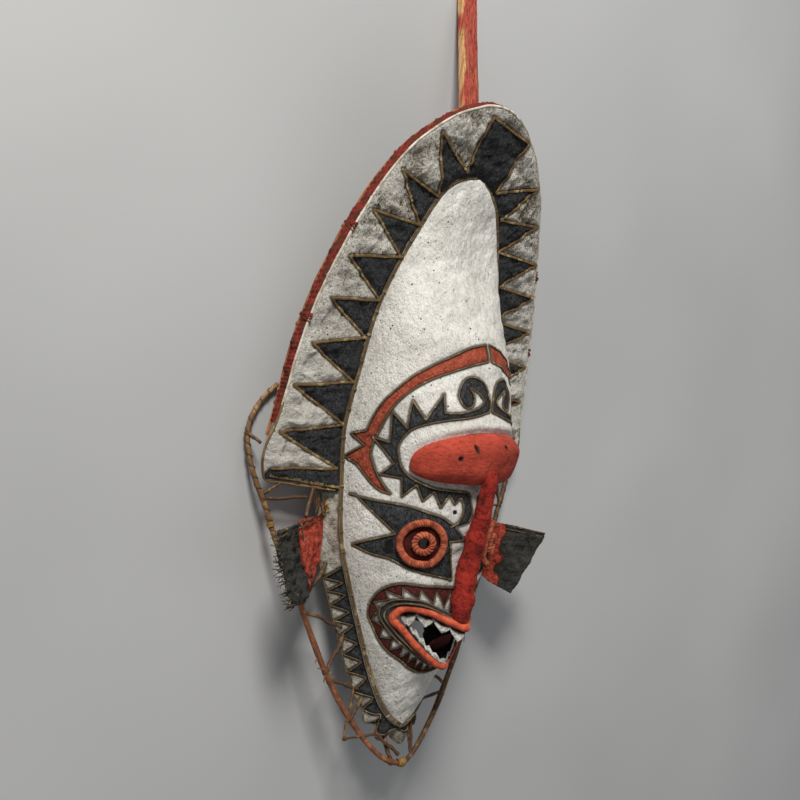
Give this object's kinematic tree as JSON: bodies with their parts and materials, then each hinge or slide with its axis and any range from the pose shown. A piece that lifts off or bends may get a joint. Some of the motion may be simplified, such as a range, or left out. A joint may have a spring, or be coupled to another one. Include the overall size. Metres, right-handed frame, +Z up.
{
  "type": "eharo mask",
  "caption": "Barkcloth spirit mask on a cane frame with a tall crest, padded brow and nose, toothed mouth, side ears and a hoop below, lying on its back with its pole.",
  "frame": {"origin": "bottom centre of the bounding box, on the floor that the mask lies on", "axes": "+X toward the wearer's left, +Y along the lying mask toward the pole's upper end, +Z up, out of the face"},
  "size_m": [0.5896, 1.2636, 0.248],
  "materials": {
    "cloth_white": "barkcloth painted white, worn and specked",
    "cloth_black": "barkcloth painted black",
    "paint_red": "padded or cord-wound cloth painted red",
    "paint_maroon": "barkcloth painted dark red",
    "side_red": "fibrous cloth strip with worn red paint",
    "cane_light": "split cane, dry and matte",
    "cane_rim": "cane with worn white paint",
    "cane_dark": "bent cane and twigs, brown and matte",
    "pole_wood": "flat lath with worn red paint"
  },
  "bodies": {
    "root": {"face_cloth": "cloth_white", "crest_cloth": "cloth_white", "mouth_band": "paint_maroon", "lip_cord": "paint_red", "upper_teeth": "cloth_white", "lower_teeth": "cloth_white", "tongue": "paint_maroon", "brow_bulb": "paint_red", "nose": "paint_red", "face_inner_cane": "cane_light", "face_outer_cane": "cane_light", "rim_front_cane": "cane_rim", "rim_back_cane": "cane_rim", "side_band": "side_red", "jaw_side_band": "cloth_black", "hoop": "cane_dark", "upper_rib": "cane_light", "lower_rib": "cane_light", "pole": "pole_wood", "right_lower_stay": "cane_dark", "right_chin_stay": "cane_dark", "left_lower_stay": "cane_dark", "left_chin_stay": "cane_dark", "chin_post_right": "cane_dark", "chin_post_left": "cane_dark", "right_eye_ring": "paint_red", "right_eye_inner_ring": "paint_red", "right_eye_disc": "paint_maroon", "right_crest_strip": "cane_light", "right_ear": "cloth_black", "right_wing_link": "cane_dark", "right_wing_stay": "cane_dark", "right_ear_bar": "cane_dark", "right_ear_post": "cane_dark", "right_cheek_stay": "cane_dark", "right_jaw_stay": "cane_dark", "right_jaw_cord": "cane_dark", "left_eye_ring": "paint_red", "left_eye_inner_ring": "paint_red", "left_eye_disc": "paint_maroon", "left_crest_strip": "cane_light", "left_ear": "cloth_black", "left_wing_link": "cane_dark", "left_wing_stay": "cane_dark", "left_ear_bar": "cane_dark", "left_ear_post": "cane_dark", "left_cheek_stay": "cane_dark", "left_jaw_stay": "cane_dark", "left_jaw_cord": "cane_dark"}
  },
  "joints": []
}
